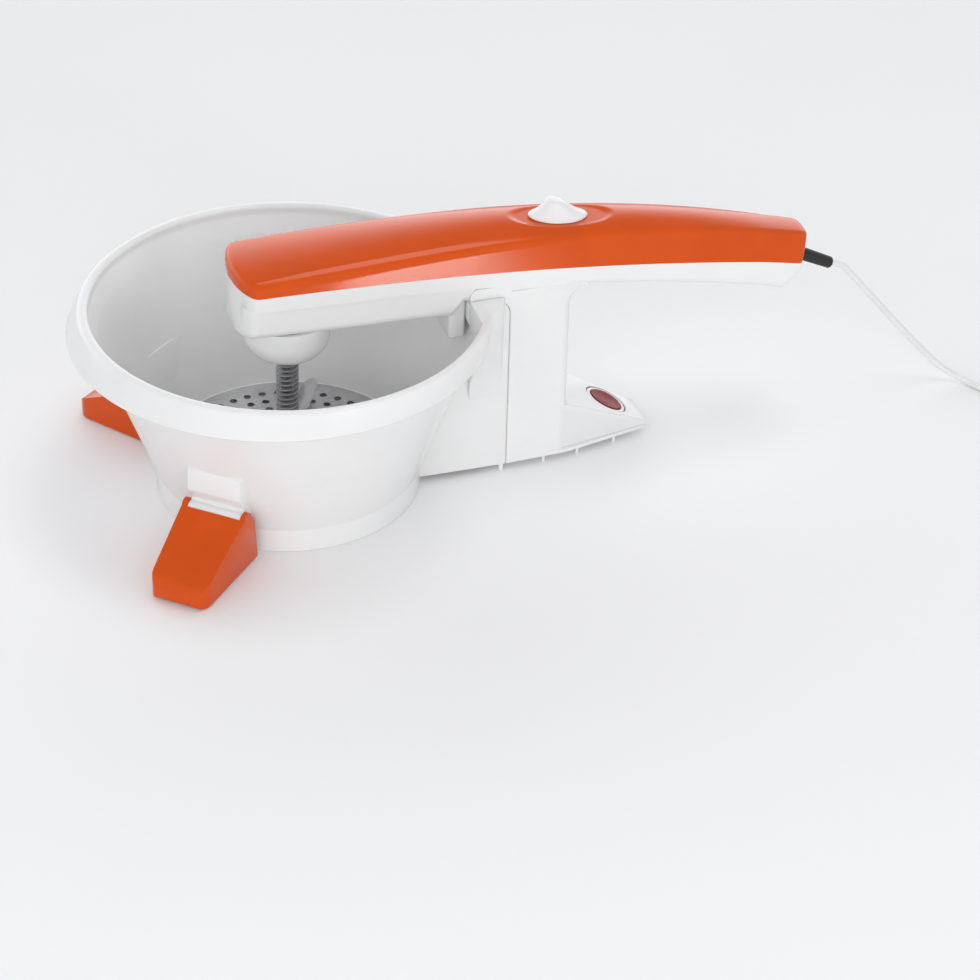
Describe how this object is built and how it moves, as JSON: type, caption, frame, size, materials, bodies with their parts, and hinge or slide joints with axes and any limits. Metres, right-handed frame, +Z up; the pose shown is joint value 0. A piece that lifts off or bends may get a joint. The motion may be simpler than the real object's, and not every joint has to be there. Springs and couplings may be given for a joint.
{
  "type": "food mill",
  "caption": "Electric tomato press: white plastic bowl with a steel sieve, orange folding feet and a clip-on motor arm whose shaft turns a spring-loaded paddle",
  "frame": {"origin": "on the bowl's axis at table level, in the middle of the outlet ring's opening", "axes": "+X along the arm from the bowl to the cord, +Y to the left seen from behind the bowl, +Z up"},
  "size_m": [0.6085, 0.2306, 0.1547],
  "materials": {
    "white_plastic": "moulded white plastic, fairly glossy",
    "orange_plastic": "glossy moulded orange plastic",
    "red_plastic": "glossy dark red plastic",
    "steel": "bright stainless steel",
    "bronze": "plain sintered bronze",
    "brass": "bright plated pins",
    "gear_plastic": "natural moulded nylon",
    "black_plastic": "matte black plastic",
    "black_rubber": "soft black rubber",
    "board": "coated circuit board",
    "cord_white": "soft white cord jacket"
  },
  "bodies": {
    "bowl_body": {"bowl": "white_plastic", "guide_strips": "white_plastic", "sieve_disc": "steel", "foot_pins": "steel"},
    "left_foot_body": {"left_foot": "orange_plastic"},
    "right_foot_body": {"right_foot": "orange_plastic"},
    "motor_unit": {"motor_housing": "white_plastic", "top_shell": "orange_plastic", "base_cover": "white_plastic", "cover_screws": "steel", "shell_screws": "steel", "spindle_dome": "white_plastic", "lower_bush": "bronze", "upper_bush": "bronze", "gear_plate": "steel", "plate_pillars": "white_plastic", "plate_screws": "steel", "gear_spindles": "steel", "drive_belt": "black_rubber", "motor_can": "steel", "motor_plate": "steel", "motor_screws": "steel", "switch_body": "black_plastic", "circuit_board": "board", "button_spring": "steel", "latch_spring": "steel", "strain_relief": "black_rubber", "cord_clamp": "gear_plastic", "cord_run": "cord_white", "cord_coil": "cord_white", "cord_end": "cord_white", "plug_body": "cord_white", "plug_pins": "brass"},
    "output": {"drive_shaft": "steel", "drive_pin": "steel", "output_gear": "gear_plastic", "spring_washer": "steel", "pressure_spring": "steel"},
    "paddle": {"paddle_hub": "white_plastic", "paddle_blades": "steel"},
    "middle": {"middle_gear": "gear_plastic"},
    "belt_stage": {"pulley_gear": "gear_plastic"},
    "rotor": {"motor_shaft": "steel", "motor_pulley": "gear_plastic"},
    "knob": {"switch_knob": "white_plastic"},
    "button": {"release_button": "red_plastic"},
    "latch": {"latch_bar": "gear_plastic"}
  },
  "joints": [
    {"name": "left_foot_fold", "type": "hinge", "parent": "bowl_body", "child": "left_foot_body", "pos_m": [-0.05715, 0.06692, 0.03], "axis": [0.7604, 0.6494, 0], "range_deg": [0, 84]},
    {"name": "right_foot_fold", "type": "hinge", "parent": "bowl_body", "child": "right_foot_body", "pos_m": [-0.05715, -0.06692, 0.03], "axis": [-0.7604, 0.6494, 0], "range_deg": [0, 84]},
    {"name": "lift_off", "type": "slide", "parent": "bowl_body", "child": "motor_unit", "axis": [0, 0, 1], "range_m": [0, 0.12]},
    {"name": "blade_spin", "type": "hinge", "parent": "motor_unit", "child": "output", "pos_m": [0, 0, 0.1], "axis": [0, 0, 1], "continuous": true},
    {"name": "blade_float", "type": "slide", "parent": "output", "child": "paddle", "axis": [0, 0, 1], "range_m": [0, 0.005], "stiffness_N_per_m": 400, "springref_m": -0.01, "deforming": ["pressure_spring"]},
    {"name": "middle_spin", "type": "hinge", "parent": "motor_unit", "child": "middle", "pos_m": [0.027, 0, 0.115], "axis": [0, 0, 1], "continuous": true},
    {"name": "belt_stage_spin", "type": "hinge", "parent": "motor_unit", "child": "belt_stage", "pos_m": [0.053, 0, 0.12], "axis": [0, 0, 1], "continuous": true},
    {"name": "rotor_spin", "type": "hinge", "parent": "motor_unit", "child": "rotor", "pos_m": [0.1368, 0, 0.1], "axis": [0, 0, 1], "continuous": true},
    {"name": "switch_slide", "type": "slide", "parent": "motor_unit", "child": "knob", "axis": [0.9961, 0, -0.0885], "range_m": [-0.006, 0.006]},
    {"name": "button_press", "type": "slide", "parent": "motor_unit", "child": "button", "axis": [-0.4608, 0, -0.8875], "range_m": [0, 0.0025], "stiffness_N_per_m": 600, "springref_m": -0.002},
    {"name": "latch_slide", "type": "slide", "parent": "motor_unit", "child": "latch", "axis": [1, 0, 0], "range_m": [0, 0.0025]}
  ],
  "couplings": [
    {"joint": "middle_spin", "follows": "blade_spin", "ratio": -3.5},
    {"joint": "belt_stage_spin", "follows": "blade_spin", "ratio": 11.667},
    {"joint": "rotor_spin", "follows": "blade_spin", "ratio": 35},
    {"joint": "latch_slide", "follows": "button_press", "ratio": 1}
  ]
}
